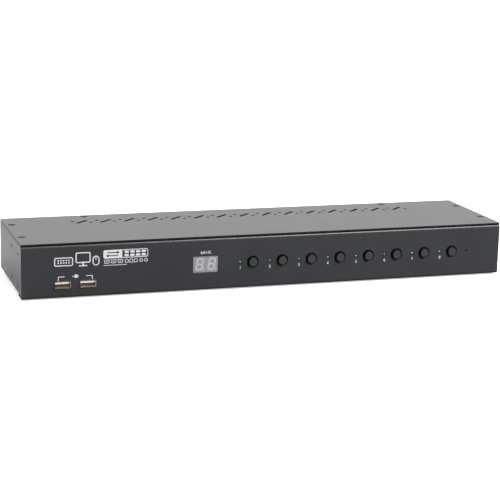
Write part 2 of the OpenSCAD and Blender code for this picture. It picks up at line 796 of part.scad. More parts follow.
// The plastic lining of a square socket and the contact tongue in the middle of it
module usb_b_cores() color([0.93, 0.93, 0.9])
    for (k = [0 : port_count - 1]) {
        x = group_x[k] + usb_b_dx;
        z = upper_top_z + usb_b_h / 2;
        difference() {
            block_y(x, z, usb_b_w - 2 * usb_b_wall, usb_b_h - 2 * usb_b_wall, rear_y - usb_b_d + 1,
                    rear_y + usb_b_proud / 2);
            along_y(rear_y - usb_b_open_d, rear_y + 1) translate([x, z]) usb_b_outline(0);
        }
        block_y(x, z, usb_b_tongue_w, usb_b_tongue_h, rear_y - usb_b_open_d - 0.01, rear_y - 1);
    }

module console_usb_shells() color([0.8, 0.8, 0.82])
    for (dx = console_usb_dx)
        usb_a_shell(console_x + dx, console_usb_z, console_mouth_y, console_mouth_y - usb_a_d);

module console_usb_tongues() color([0.93, 0.93, 0.9])
    for (dx = console_usb_dx)
        usb_a_tongue(console_x + dx, console_usb_z, console_mouth_y, console_mouth_y - usb_a_d);

// A round audio socket: a square body on the board and a ring through the rear panel
module audio_jack(x) {
    difference() {
        union() {
            block_y(x, jack_z, jack_w, jack_h, rear_in_y - jack_d, rear_in_y - snug_gap);
            rod_y(x, jack_z, jack_ring_r, rear_in_y - 2 * snug_gap, rear_y + jack_proud);
        }
        rod_y(x, jack_z, jack_bore_r, rear_y + jack_proud - jack_bore_depth, rear_y + jack_proud + 1);
    }
}

// One of the console's audio rings, which stands on the shared body behind the panel
module console_ring(z) {
    x = console_x + console_jack_dx;
    difference() {
        rod_y(x, z, console_jack_r, rear_in_y - snug_gap, rear_y + jack_proud);
        rod_y(x, z, jack_bore_r, rear_in_y - 1, rear_y + jack_proud + 1);
    }
}

module audio_jacks_green() color([0.45, 0.75, 0.3]) {
    for (k = [0 : port_count - 1]) audio_jack(group_x[k] + jack_dx[0]);
    console_ring(console_jack_z[1]);
}

module audio_jacks_pink() color([0.9, 0.45, 0.6]) {
    for (k = [0 : port_count - 1]) audio_jack(group_x[k] + jack_dx[1]);
    console_ring(console_jack_z[0]);
}

// The black body behind the console's two stacked audio rings
module console_audio_body() color([0.1, 0.1, 0.1]) {
    x = console_x + console_jack_dx;
    difference() {
        block_y(x, upper_top_z + console_body_h / 2, jack_w, console_body_h, rear_in_y - jack_d,
                rear_in_y - snug_gap);
        for (z = console_jack_z) rod_y(x, z, jack_bore_r, rear_in_y - console_bore_depth, rear_in_y + 1);
    }
}

module power_jack() color([0.09, 0.09, 0.09])
    difference() {
        union() {
            block_y(power_x, power_jack_z, power_jack_w, power_jack_h, rear_in_y - power_jack_d,
                    rear_in_y - snug_gap);
            rod_y(power_x, power_jack_z, power_ring_r, rear_in_y - 2 * snug_gap, rear_y + 0.4);
        }
        rod_y(power_x, power_jack_z, power_bore_r, rear_y - power_bore_depth, rear_y + 1);
    }

module power_jack_pin() color([0.8, 0.78, 0.7]) {
    tip_y = rear_y - power_pin_recess;
    rod_y(power_x, power_jack_z, power_pin_r, rear_y - power_bore_depth, tip_y);
    translate([power_x, tip_y, power_jack_z]) sphere(r = power_pin_r);
}

// The rocker's frame: a bezel outside the panel and a box inside it, with a bore for each pivot
module power_switch_frame() color([0.08, 0.08, 0.08])
    difference() {
        union() {
            along_y(rear_y, rear_y + frame_bezel_t)
                translate([power_x, rocker_z]) round_rect(frame_w, frame_h, frame_corner_r);
            block_y(power_x, rocker_z, frame_body_w, frame_body_h, rear_in_y - frame_body_d, rear_y + 0.1);
        }
        block_y(power_x, rocker_z, rocker_w + 0.4, 2 * rocker_half + 1.2, rear_in_y - frame_well_d,
                rear_y + frame_bezel_t + 1);
        rod_x(rocker_pivot_y, rocker_z, rocker_pin_r + 0.05,
              power_x - frame_body_w / 2, power_x + frame_body_w / 2);
    }

// The rocker rests tipped to its off side; its two faces meet in a shallow valley
module power_rocker() color([0.07, 0.07, 0.07])
    translate([power_x, rocker_pivot_y, rocker_z]) rotate([rocker_tilt, 0, 0]) {
        edge = rocker_face - rocker_edge_t;
        pin_half = rocker_w / 2 + rocker_pin_out;
        along_x(-rocker_w / 2, rocker_w / 2)
            polygon([[-rocker_back, -rocker_root], [edge, -rocker_half], [rocker_face, -rocker_half],
                     [rocker_valley, 0], [rocker_face, rocker_half], [edge, rocker_half],
                     [-rocker_back, rocker_root]]);
        rod_x(0, 0, rocker_pin_r, -pin_half, pin_half);
    }

module ground_screw() color([0.75, 0.75, 0.7])
    translate([ground_xz[0], rear_y, ground_xz[1]]) rotate([-90, 0, 0]) pan_screw(4);

// ---------- board parts ----------

module ribbon_headers() color([0.1, 0.1, 0.1]) {
    block_y(header_x, header_z, header_l, header_w, control_back_y, ribbon_y);
    translate([header_x - header_l / 2, header_y - header_w / 2, main_top_z])
        cube([header_l, header_w, header_h]);
}

// The flat cable leaves the control board's header and turns down to the main board's
module ribbon_cable() color([0.55, 0.56, 0.58]) {
    turn_y = header_y + ribbon_t / 2 - ribbon_turn_r;
    turn_z = header_z + ribbon_t / 2 - ribbon_turn_r;
    end_z = main_top_z + header_h;
    along_x(header_x - ribbon_w / 2, header_x + ribbon_w / 2) {
        translate([ribbon_y, header_z - ribbon_t / 2]) square([turn_y - ribbon_y, ribbon_t]);
        translate([turn_y, turn_z]) intersection() {
            difference() {
                circle(r = ribbon_turn_r);
                circle(r = ribbon_turn_r - ribbon_t);
            }
            square(ribbon_turn_r);
        }
        translate([header_y - ribbon_t / 2, end_z]) square([ribbon_t, turn_z - end_z]);
    }
}

// A flat square chip package on a board surface at z
module chip(x, y, z, size, h) {
    translate([x - size / 2, y - size / 2, z]) cube([size, size, h]);
}

module video_chips() color([0.08, 0.08, 0.09])
    for (x = video_chip_x) chip(x, video_chip_y, main_top_z, video_chip_size, video_chip_h);

module heat_sinks() color([0.5, 0.52, 0.55])
    for (x = [video_chip_x[2], video_chip_x[3]]) difference() {
        sink_z = main_top_z + video_chip_h;
        chip(x, video_chip_y, sink_z, video_chip_size, sink_h);
        for (i = [-2 : 2])
            translate([x + i * fin_pitch - fin_gap / 2, video_chip_y - video_chip_size, sink_z + sink_base_t])
                cube([fin_gap, 2 * video_chip_size, sink_h]);
    }

module control_chips() color([0.08, 0.08, 0.09]) {
    for (x = main_chip_x) chip(x, video_chip_y + 8, main_top_z, main_chip_size, 1.4);
    for (k = [0 : port_count - 1]) chip(group_x[k] - 10, upper_front_y + 9, upper_top_z, port_chip_size, 1.2);
}

module capacitors() color([0.2, 0.22, 0.3])
    for (x = capacitor_x) for (y = capacitor_y)
        translate([x, y, main_top_z]) cylinder(r = capacitor_r, h = capacitor_h);

base_tray();
front_panel();
rear_panel();
top_cover();
cover_screws();
cover_nuts();
front_panel_screws();
rear_panel_screws();
ear_nuts();
rubber_feet();
main_board();
upper_board();
control_board();
board_standoffs();
board_spacers();
control_board_brackets();
board_screws();
button_cap_1();
button_cap_2();
button_cap_3();
button_cap_4();
button_cap_5();
button_cap_6();
button_cap_7();
button_cap_8();
button_switches();
port_lamps();
lamp_spacers();
bank_display();
display_socket();
front_usb_shells();
front_usb_tongues();
reset_plunger();
reset_switch();
dvi_shells();
dvi_inserts();
dvi_bodies();
dvi_jackscrews();
usb_b_shells();
usb_b_cores();
console_usb_shells();
console_usb_tongues();
audio_jacks_green();
audio_jacks_pink();
console_audio_body();
power_jack();
power_jack_pin();
power_switch_frame();
power_rocker();
ground_screw();
ribbon_cable();
ribbon_headers();
video_chips();
heat_sinks();
control_chips();
capacitors();
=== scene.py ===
import math

import bmesh
import bpy
from mathutils import Matrix, Vector


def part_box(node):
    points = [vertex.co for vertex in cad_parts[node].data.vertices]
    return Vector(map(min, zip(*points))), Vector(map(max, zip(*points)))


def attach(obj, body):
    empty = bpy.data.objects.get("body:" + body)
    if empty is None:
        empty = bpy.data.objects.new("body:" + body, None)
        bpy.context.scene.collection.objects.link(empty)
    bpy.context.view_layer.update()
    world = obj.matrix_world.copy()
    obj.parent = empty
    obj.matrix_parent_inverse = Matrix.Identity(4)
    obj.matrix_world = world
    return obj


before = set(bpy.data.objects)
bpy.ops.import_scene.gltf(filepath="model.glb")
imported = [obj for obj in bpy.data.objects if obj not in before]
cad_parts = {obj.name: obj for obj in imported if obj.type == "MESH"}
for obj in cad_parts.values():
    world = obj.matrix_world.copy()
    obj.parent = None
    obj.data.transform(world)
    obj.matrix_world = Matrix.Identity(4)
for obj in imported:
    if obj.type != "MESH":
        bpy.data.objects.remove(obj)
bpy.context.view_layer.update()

MM = 0.001
ROOT = "chassis"
PORTS = 8
SOCKET_W = 13.1 * MM  # width of one type A socket
INK_MM = 0.04         # thickness of the printed ink

# The planes and corners that the printed and moulded details are placed from
LEFT_X, FRONT_Y, LIP_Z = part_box("front_panel")[0]
REAR_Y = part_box("rear_panel")[1].y
COVER_LOW, COVER_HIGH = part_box("top_cover")
CASE_MIDDLE = Vector((0, (FRONT_Y + REAR_Y) / 2, (LIP_Z + COVER_HIGH.z) / 2))


# ---------- shader graphs ----------

NOISE_SPAN = (0.3, 0.7)  # most values of a noise lie between these


class Graph:
    """A material's node tree, with short calls for adding and joining nodes."""

    def __init__(self, name):
        self.material = bpy.data.materials.new(name)
        self.material.use_nodes = True
        self.tree = self.material.node_tree
        self.surface = self.tree.nodes["Principled BSDF"]
        self.coordinates = self.add("ShaderNodeTexCoord").outputs["Object"]

    def put(self, socket, value):
        """Joins a socket to another node's output, or gives it a plain value."""
        if isinstance(value, bpy.types.NodeSocket):
            self.tree.links.new(value, socket)
        else:
            socket.default_value = value

    def add(self, kind, **values):
        """A node, with its inputs and settings given by name."""
        node = self.tree.nodes.new(kind)
        for name, value in values.items():
            socket = node.inputs.get(name.replace("_", " ").title())
            if socket is None:
                setattr(node, name, value)
            else:
                self.put(socket, value)
        return node

    def set(self, **values):
        """Inputs of the Principled surface, given by name."""
        for name, value in values.items():
            label = name.replace("_", " ").title().replace("Ior", "IOR")
            self.put(self.surface.inputs[label], value)

    def axis(self, letter):
        """One coordinate of the shaded point, in metres."""
        return self.add("ShaderNodeSeparateXYZ", vector=self.coordinates).outputs[letter]

    def noise(self, size_mm, detail=2.0, roughness=0.5, stretch=(1, 1, 1)):
        """Noise from 0 to 1 whose grains are about size_mm across."""
        place = self.add("ShaderNodeMapping", vector=self.coordinates, scale=stretch)
        return self.add("ShaderNodeTexNoise", vector=place.outputs[0], scale=1 / (size_mm * MM),
                        detail=detail, roughness=roughness).outputs["Fac"]

    def ramp(self, value, low, high, dark=0.0, light=1.0):
        """Maps value from low..high to dark..light, clamped at both ends."""
        return self.add("ShaderNodeMapRange", value=value, from_min=low, from_max=high,
                        to_min=dark, to_max=light).outputs[0]

    def math(self, operation, a, b):
        """One step of arithmetic."""
        node = self.add("ShaderNodeMath", operation=operation)
        self.put(node.inputs[0], a)
        self.put(node.inputs[1], b)
        return node.outputs[0]

    def mix(self, factor, a, b):
        """A colour between a and b, each a tuple or another node's output."""
        node = self.add("ShaderNodeMix", data_type="RGBA")
        sockets = {socket.identifier: socket for socket in node.inputs}
        self.put(sockets["Factor_Float"], factor)
        for name, colour in (("A_Color", a), ("B_Color", b)):
            self.put(sockets[name], (*colour, 1) if isinstance(colour, tuple) else colour)
        return node.outputs[2]

    def alignment(self, direction):
        """The dot product of a direction and the face's own normal."""
        node = self.add("ShaderNodeVectorMath", operation="DOT_PRODUCT")
        self.put(node.inputs[0], self.add("ShaderNodeNewGeometry").outputs["Normal"])
        self.put(node.inputs[1], direction)
        return node.outputs["Value"]

    def rounded_normal(self, radius_mm):
        """The surface normal with sharp edges rounded off over radius_mm."""
        return self.add("ShaderNodeBevel", samples=6, radius=radius_mm * MM).outputs[0]

    def edge_mask(self, rounded):
        """1 on sharp edges and corners and 0 on flat areas."""
        return self.ramp(self.alignment(rounded), 0.98, 0.75)

    def facing(self, direction, low=0.6, high=0.9):
        """1 where the surface faces along direction and 0 elsewhere."""
        return self.ramp(self.alignment(direction), low, high)

    def bump(self, height, strength, depth_mm, normal=None):
        """Fine relief from a height, over the given normal."""
        node = self.add("ShaderNodeBump", height=height, strength=strength, distance=depth_mm * MM)
        if normal is not None:
            self.put(node.inputs["Normal"], normal)
        self.set(normal=node.outputs[0])


# ---------- kinds of material ----------

def grey(value, tint=(1, 1, 1)):
    """A neutral colour, or one that leans towards tint."""
    return tuple(value * t for t in tint)


def scaled(colour, factor):
    """A lighter or darker colour, at most white."""
    return tuple(min(1, c * factor) for c in colour)


def powder_coat(name, base, tint=(1, 1, 1), roughness=0.40, grain_mm=0.55, depth_mm=0.012,
                paint_edge_shade=False):
    """Black powder coat: fine orange peel, faint mottling, and edges that catch the light.
    When its last argument is set, faces that are neither flat nor turned to the front are painted much
    darker, front faces keep the plain base colour, and all of them lose most of their gloss: painted shade
    for the dark gaps along the cover's edges and round the countersunk screw heads."""
    g = Graph(name)
    rounded = g.rounded_normal(0.3)
    scuffed = grey(base * 2)
    worn = grey(base * 2.6)
    # Painted shade: the darkest colour, for faces that are not flat
    darkest_edge_shade = grey(base * 0.35)
    mottling = g.noise(30, detail=3)
    scuffs = g.ramp(g.noise(9, detail=6, roughness=0.7, stretch=(0.25, 1, 1)), 0.6, 0.78)
    wear = g.math("MULTIPLY", g.edge_mask(rounded), g.ramp(g.noise(3, detail=4), 0.35, 0.65, 0.1, 0.5))
    colour = g.mix(g.ramp(mottling, *NOISE_SPAN), grey(base * 0.94, tint), grey(base * 1.06, tint))
    colour = g.mix(g.math("MULTIPLY", scuffs, 0.1), colour, scuffed)
    colour = g.mix(wear, colour, worn)
    sheen = g.math("ADD", g.ramp(mottling, *NOISE_SPAN, roughness - 0.01, roughness + 0.01),
                   g.math("MULTIPLY", scuffs, 0.02))
    specular = 0.5
    # Painted shade on faces that are not flat, for the gaps along the cover's edges and round the screw
    # heads
    if paint_edge_shade:
        flat = g.math("ADD", g.facing((0, 0, 1), 0.85, 0.97), g.facing((0, 0, -1), 0.85, 0.97))
        slope = g.mix(g.facing((0, -1, 0)), darkest_edge_shade, grey(base))
        colour = g.mix(flat, slope, colour)
        specular = g.ramp(flat, 0, 1, 0.08, 0.5)
    g.set(base_color=colour, roughness=sheen, specular_ior_level=specular)
    g.bump(g.noise(grain_mm, detail=3, roughness=0.6), 0.3, depth_mm, rounded)
    return g.material


def button_plastic(name, base):
    """Grained button plastic: the face is matt, and the side of the cap is painted dark with little gloss,
    as painted shade in the hole round the cap.
    """
    g = Graph(name)
    face = g.facing((0, -1, 0), 0.8, 0.95)
    # Painted shade: a much darker colour for the side of the cap
    shaded_wall = grey(base * 0.28)
    drift = g.ramp(g.noise(3, detail=3), *NOISE_SPAN)
    tone = g.mix(drift, grey(base * 0.94), grey(base * 1.06, (0.98, 1.0, 1.01)))
    g.set(base_color=g.mix(face, shaded_wall, tone),
          roughness=g.ramp(g.noise(1.2, detail=4), *NOISE_SPAN, 0.46, 0.56),
          specular_ior_level=g.ramp(face, 0, 1, 0.12, 0.5))
    g.bump(g.noise(0.3), 0.3, 0.015, g.rounded_normal(0.2))
    return g.material


def moulded(name, colour, roughness=0.45, grain_mm=0.25, variation=0.08, coat=0.0, translucency=0.0,
            glow=0.0):
    """Moulded plastic: a spark-eroded grain, slight colour drift and softened edges.
    A little glow on the faces that look to the front is painted light: it stands for the light that a milky
    plastic carries into a deep socket, where the plastic sits in shade."""
    g = Graph(name)
    rounded = g.rounded_normal(0.15)
    edge_colour = tuple(min(1, c * 1.5 + 0.02) for c in colour)
    base = g.mix(g.ramp(g.noise(4, detail=3), *NOISE_SPAN), scaled(colour, 1 - variation),
                 scaled(colour, 1 + variation))
    g.set(base_color=g.mix(g.math("MULTIPLY", g.edge_mask(rounded), 0.35), base, edge_colour),
          roughness=g.ramp(g.noise(1.5, detail=4), *NOISE_SPAN, roughness - 0.06, roughness + 0.06),
          coat_weight=coat, subsurface_weight=translucency)
    # Painted light: the faces that look to the front glow
    if glow:
        g.set(emission_color=(*colour, 1),
              emission_strength=g.math("MULTIPLY", g.facing((0, -1, 0)), glow))
    if translucency:
        g.set(subsurface_radius=(0.6 * MM, 0.6 * MM, 0.6 * MM), subsurface_scale=1.0)
    g.bump(g.noise(grain_mm), 0.3, 0.01, rounded)
    return g.material


def metal(name, colour, roughness=0.3, stretch=(1, 1, 14), tarnish=0.25):
    """Plated or turned metal: fine drawn lines, dull patches and brighter edges."""
    g = Graph(name)
    rounded = g.rounded_normal(0.12)
    patches = g.ramp(g.noise(3, detail=5, roughness=0.65), 0.35, 0.7)
    lines = g.noise(0.35, detail=4, roughness=0.7, stretch=stretch)
    base = g.mix(g.math("MULTIPLY", patches, tarnish), colour, scaled(colour, 0.6))
    g.set(base_color=g.mix(g.math("MULTIPLY", g.edge_mask(rounded), 0.5), base, scaled(colour, 1.25)),
          metallic=1.0,
          roughness=g.math("ADD", g.ramp(lines, *NOISE_SPAN, roughness - 0.08, roughness + 0.08),
                           g.math("MULTIPLY", patches, 0.1)))
    g.bump(lines, 0.12, 0.01, rounded)
    return g.material


def shell_metal(name, colour, rim, sockets=None):
    """A drawn socket shell: bright, with a dull cut edge of the rim colour round its mouth. In a pair of
    sockets with the given corners, the shell grows darker and browner with depth, which is painted shade
    inside the socket; the lip at the mouth of each right side glows with painted light, and painted glints
    glow on the floor deep inside."""
    g = Graph(name)
    rounded = g.rounded_normal(0.1)
    edge = g.math("ADD", g.facing((0, -1, 0)), g.facing((0, 1, 0)))
    patches = g.ramp(g.noise(3, detail=5, roughness=0.65), 0.35, 0.7)
    base = g.mix(g.math("MULTIPLY", patches, 0.3), colour, scaled(colour, 0.6))
    if sockets:
        low, high = sockets
        pitch = high.x - low.x - SOCKET_W
        y = g.axis("Y")
        # Painted shade: darker and browner with distance from the mouth
        depth = g.ramp(y, low.y + 2.2 * MM, low.y + 4.5 * MM)
        deep = tuple(c * f for c, f in zip(colour, (0.5, 0.4, 0.28)))
        base = g.mix(depth, base, deep)
        across = g.math("FLOORED_MODULO", g.math("SUBTRACT", g.axis("X"), low.x), pitch)
        right_half = g.math("GREATER_THAN", across, SOCKET_W / 2)
        # Painted light: the lip at each right side's mouth and small glints on the deep floor glow
        lip = g.math("MULTIPLY", g.facing((-1, 0, 0)), g.ramp(y, low.y + 2.0 * MM, low.y + 1.2 * MM))
        painted_lip_glow = g.math("MULTIPLY", g.math("MULTIPLY", lip, right_half), 0.28)
        floor = g.math("MULTIPLY", g.facing((0, 0, 1)), depth)
        painted_floor_glint = g.math("MULTIPLY", floor, g.ramp(g.noise(1.3, detail=3), 0.4, 0.62, 0.04, 0.24))
        g.set(emission_color=g.mix(depth, colour, deep), emission_strength=g.math("ADD", painted_lip_glow, painted_floor_glint))
    lines = g.noise(0.35, detail=4, roughness=0.7, stretch=(14, 1, 1))
    g.set(base_color=g.mix(edge, base, rim), metallic=1.0,
          roughness=g.ramp(lines, *NOISE_SPAN, 0.4, 0.52))
    g.bump(lines, 0.12, 0.01, rounded)
    return g.material


def circuit_board(name):
    """Green solder mask over faint copper tracks, with plated pads."""
    g = Graph(name)
    tracks = g.add("ShaderNodeTexBrick", vector=g.coordinates, scale=1.0, offset=0.37,
                   brick_width=9 * MM, row_height=1.3 * MM, mortar_size=0.16 * MM).outputs["Fac"]
    cells = g.add("ShaderNodeTexVoronoi", vector=g.coordinates, scale=1 / (3.1 * MM))
    pads = g.ramp(cells.outputs["Distance"], 0.12, 0.1)
    mask = g.mix(tracks, (0.012, 0.11, 0.045), (0.025, 0.18, 0.07))
    g.set(base_color=g.mix(pads, mask, (0.62, 0.5, 0.26)), metallic=g.math("MULTIPLY", pads, 0.9),
          roughness=g.ramp(g.noise(2, detail=3), *NOISE_SPAN, 0.26, 0.38))
    g.bump(g.math("ADD", g.math("MULTIPLY", tracks, 0.5), pads), 0.4, 0.03)
    return g.material


def lamp_lens(name):
    """The port lamps' tinted lens, with painted light and shade: it is pale where it faces the viewer and
    dark green towards its rim, and how pale the middle is differs from lamp to lamp."""
    g = Graph(name)
    facing = g.add("ShaderNodeLayerWeight", blend=0.5).outputs["Facing"]
    haze = g.noise(0.7, detail=3)
    # Painted light and shade: pale where the lens faces the viewer, dark green where it turns away
    rim_shade = g.math("ADD", facing, g.ramp(haze, *NOISE_SPAN, -0.06, 0.06))
    middle = g.mix(g.ramp(g.noise(18), 0.35, 0.65), (0.10, 0.20, 0.13), (0.27, 0.47, 0.30))
    g.set(base_color=g.mix(g.ramp(rim_shade, 0.02, 0.2), middle, (0.013, 0.075, 0.038)),
          roughness=g.ramp(haze, *NOISE_SPAN, 0.14, 0.22), coat_weight=0.4)
    g.bump(haze, 0.1, 0.01)
    return g.material


def ink(name, colour):
    """Screen-printed ink, slightly uneven, on a textured surface."""
    g = Graph(name)
    cover = g.ramp(g.noise(0.4, detail=4), 0.3, 0.75)
    g.set(base_color=g.mix(cover, scaled(colour, 0.9), colour),
          roughness=g.ramp(g.noise(1.2), *NOISE_SPAN, 0.42, 0.55))
    g.bump(g.noise(0.5), 0.25, 0.01)
    return g.material


def rubber(name):
    """Matt black rubber with a fine pebble and a little dust."""
    g = Graph(name)
    dust = g.ramp(g.noise(2.5, detail=6, roughness=0.7), 0.5, 0.8)
    g.set(base_color=g.mix(g.math("MULTIPLY", dust, 0.3), grey(0.018), grey(0.07)),
          roughness=g.ramp(g.noise(1.0), *NOISE_SPAN, 0.7, 0.85))
    g.bump(g.noise(0.35), 0.4, 0.04, g.rounded_normal(0.3))
    return g.material


def ribbon(name):
    """Grey flat cable with its parallel cores running along it."""
    g = Graph(name)
    core_pitch = 1.27 * MM
    cores = g.math("SINE", g.math("MULTIPLY", g.axis("X"), 2 * math.pi / core_pitch), 0)
    g.set(base_color=g.mix(g.ramp(cores, -1, 1), (0.22, 0.23, 0.24), (0.36, 0.37, 0.39)), roughness=0.5)
    g.bump(cores, 0.5, 0.2)
    return g.material


# ---------- the object's materials ----------

CASE_BLACK = powder_coat("case_powder_coat", 0.022)
# The cover carries painted shade on its edges
COVER_BLACK = powder_coat("cover_powder_coat", 0.022, paint_edge_shade=True)
PANEL_BLACK = powder_coat("panel_powder_coat", 0.041, tint=(0.93, 0.965, 1.08), roughness=0.34,
                          grain_mm=0.5)
# The screw heads carry painted shade on their countersunk slopes
SCREW_BLACK = powder_coat("black_screw", 0.022, roughness=0.36, grain_mm=0.2, depth_mm=0.004,
                          paint_edge_shade=True)
CUT_NICKEL = (0.20, 0.17, 0.12)
NICKEL = shell_metal("nickel_shell", (0.66, 0.63, 0.56), CUT_NICKEL)
# The front shells carry painted shade inside and painted light at their mouths and on their floors
FRONT_NICKEL = shell_metal("front_nickel_shell", (0.92, 0.88, 0.80), CUT_NICKEL,
                           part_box("front_usb_shells"))
ZINC = metal("zinc_plate", (0.62, 0.63, 0.64), roughness=0.3)
STEEL = metal("bright_steel", (0.70, 0.70, 0.71), roughness=0.24, stretch=(1, 14, 1))
BRASS = metal("brass_post", (0.72, 0.56, 0.28), roughness=0.28)
GOLD = metal("gold_contact", (0.83, 0.62, 0.28), roughness=0.22, tarnish=0.15)
ALUMINIUM = metal("anodised_fins", (0.50, 0.51, 0.53), roughness=0.38)
RUBBER = rubber("rubber")
BOARD = circuit_board("circuit_board")
BUTTON_PLASTIC = button_plastic("button_plastic", 0.043)
BLACK_PLASTIC = moulded("black_plastic", grey(0.022), roughness=0.5)
GLOSS_BLACK = moulded("gloss_black_plastic", grey(0.016), roughness=0.28)
IVORY_PLASTIC = moulded("ivory_plastic", (0.62, 0.60, 0.55), roughness=0.45)
# The cream tongues glow with painted light
CREAM_PLASTIC = moulded("cream_insulator", (0.90, 0.87, 0.79), roughness=0.4, translucency=0.1,
                        glow=0.45)
WHITE_PLASTIC = moulded("white_insulator", (0.78, 0.78, 0.76), roughness=0.42, translucency=0.1)
GREEN_PLASTIC = moulded("green_socket", (0.16, 0.46, 0.10), roughness=0.35, coat=0.2)
PINK_PLASTIC = moulded("pink_socket", (0.72, 0.16, 0.27), roughness=0.35, coat=0.2)
CHIP_BLACK = moulded("chip_epoxy", grey(0.025), roughness=0.6, grain_mm=0.15)
SLEEVE_BLUE = moulded("capacitor_sleeve", (0.02, 0.025, 0.08), roughness=0.3, coat=0.3)
DISPLAY_FACE = moulded("display_face", (0.32, 0.32, 0.335), roughness=0.42, grain_mm=0.4,
                       variation=0.05)
SEGMENT = moulded("display_segment", (0.60, 0.60, 0.62), roughness=0.35, variation=0.03,
                  translucency=0.2)
LENS = lamp_lens("lamp_lens")
CABLE = ribbon("flat_cable")
WHITE_INK = ink("white_ink", (0.84, 0.85, 0.87))
BLACK_INK = ink("black_ink", grey(0.03))

NODE_MATERIALS = {
    "base_tray": CASE_BLACK, "front_panel": PANEL_BLACK, "rear_panel": CASE_BLACK,
    "top_cover": COVER_BLACK, "cover_screws": SCREW_BLACK, "cover_nuts": ZINC,
    "front_panel_screws": SCREW_BLACK, "rear_panel_screws": SCREW_BLACK, "ear_nuts": ZINC,
    "rubber_feet": RUBBER, "main_board": BOARD, "upper_board": BOARD, "control_board": BOARD,
    "board_standoffs": BRASS, "board_spacers": BRASS, "control_board_brackets": ZINC,
    "board_screws": STEEL, "button_switches": BLACK_PLASTIC, "port_lamps": LENS,
    "lamp_spacers": BLACK_PLASTIC, "bank_display": DISPLAY_FACE, "display_socket": BLACK_PLASTIC,
    "front_usb_shells": FRONT_NICKEL, "front_usb_tongues": CREAM_PLASTIC, "reset_plunger": IVORY_PLASTIC,
    "reset_switch": BLACK_PLASTIC, "dvi_shells": NICKEL, "dvi_inserts": WHITE_PLASTIC,
    "dvi_bodies": BLACK_PLASTIC, "dvi_jackscrews": STEEL, "usb_b_shells": NICKEL,
    "usb_b_cores": WHITE_PLASTIC, "console_usb_shells": NICKEL, "console_usb_tongues": WHITE_PLASTIC,
    "audio_jacks_green": GREEN_PLASTIC, "audio_jacks_pink": PINK_PLASTIC,
    "console_audio_body": BLACK_PLASTIC, "power_jack": GLOSS_BLACK, "power_jack_pin": STEEL,
    "power_switch_frame": BLACK_PLASTIC, "power_rocker": GLOSS_BLACK, "ground_screw": STEEL,
    "ribbon_cable": CABLE, "ribbon_headers": BLACK_PLASTIC, "video_chips": CHIP_BLACK,
    "heat_sinks": ALUMINIUM, "control_chips": CHIP_BLACK, "capacitors": SLEEVE_BLUE,
}
NODE_MATERIALS.update({f"button_cap_{k}": BUTTON_PLASTIC for k in range(1, PORTS + 1)})

for node_name, cad_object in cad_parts.items():
    cad_object.data.materials.clear()
    cad_object.data.materials.append(NODE_MATERIALS[node_name])


# ---------- added pieces ----------

def add_piece(name, points, faces, material, body=ROOT):
    """A piece that rides on a body, from points in metres, with its faces turned outwards."""
    mesh = bpy.data.meshes.new(name)
    mesh.from_pydata(points, [], faces)
    work = bmesh.new()
    work.from_mesh(mesh)
    bmesh.ops.recalc_face_normals(work, faces=work.faces)
    work.to_mesh(mesh)
    work.free()
    mesh.materials.append(material)
    piece = bpy.data.objects.new(name, mesh)
    bpy.context.scene.collection.objects.link(piece)
    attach(piece, body)


def arc(centre, radius, start, end, steps=8):
    """Points along a circular arc, with the angles in degrees."""
    angles = [math.radians(start + (end - start) * i / steps) for i in range(steps + 1)]
    return [(centre[0] + radius * math.cos(a), centre[1] + radius * math.sin(a)) for a in angles]


def circle(x, y, radius, steps=24):
    """Points all the way round a circle."""
    return arc((x, y), radius, 0, 360 - 360 / steps, steps - 1)


def round_rect(x0, y0, x1, y1, radius):
    """The outline of a rectangle with rounded corners, anticlockwise."""
    corners = (((x1 - radius, y0 + radius), -90), ((x1 - radius, y1 - radius), 0),
               ((x0 + radius, y1 - radius), 90), ((x0 + radius, y0 + radius), 180))
    return [p for centre, start in corners for p in arc(centre, radius, start, start + 90, 6)]


def stroke(points, width, closed):
    """The left and the right edge of a line of the given width along points, mitred at the corners."""
    count = len(points)
    left, right = [], []
    for i, (x, y) in enumerate(points):
        before = points[i - 1] if i or closed else None
        after = points[(i + 1) % count] if i < count - 1 or closed else None
        steps = []
        for a, b in ((before, (x, y)), ((x, y), after)):
            if a is not None and b is not None:
                length = math.hypot(b[0] - a[0], b[1] - a[1])
                steps.append(((b[0] - a[0]) / length, (b[1] - a[1]) / length))
        normal = Vector((-sum(s[1] for s in steps), sum(s[0] for s in steps))).normalized()
        reach = width / 2 / max(0.5, normal.x * -steps[0][1] + normal.y * steps[0][0])
        left.append((x + normal.x * reach, y + normal.y * reach))
        right.append((x - normal.x * reach, y - normal.y * reach))
    return left, right


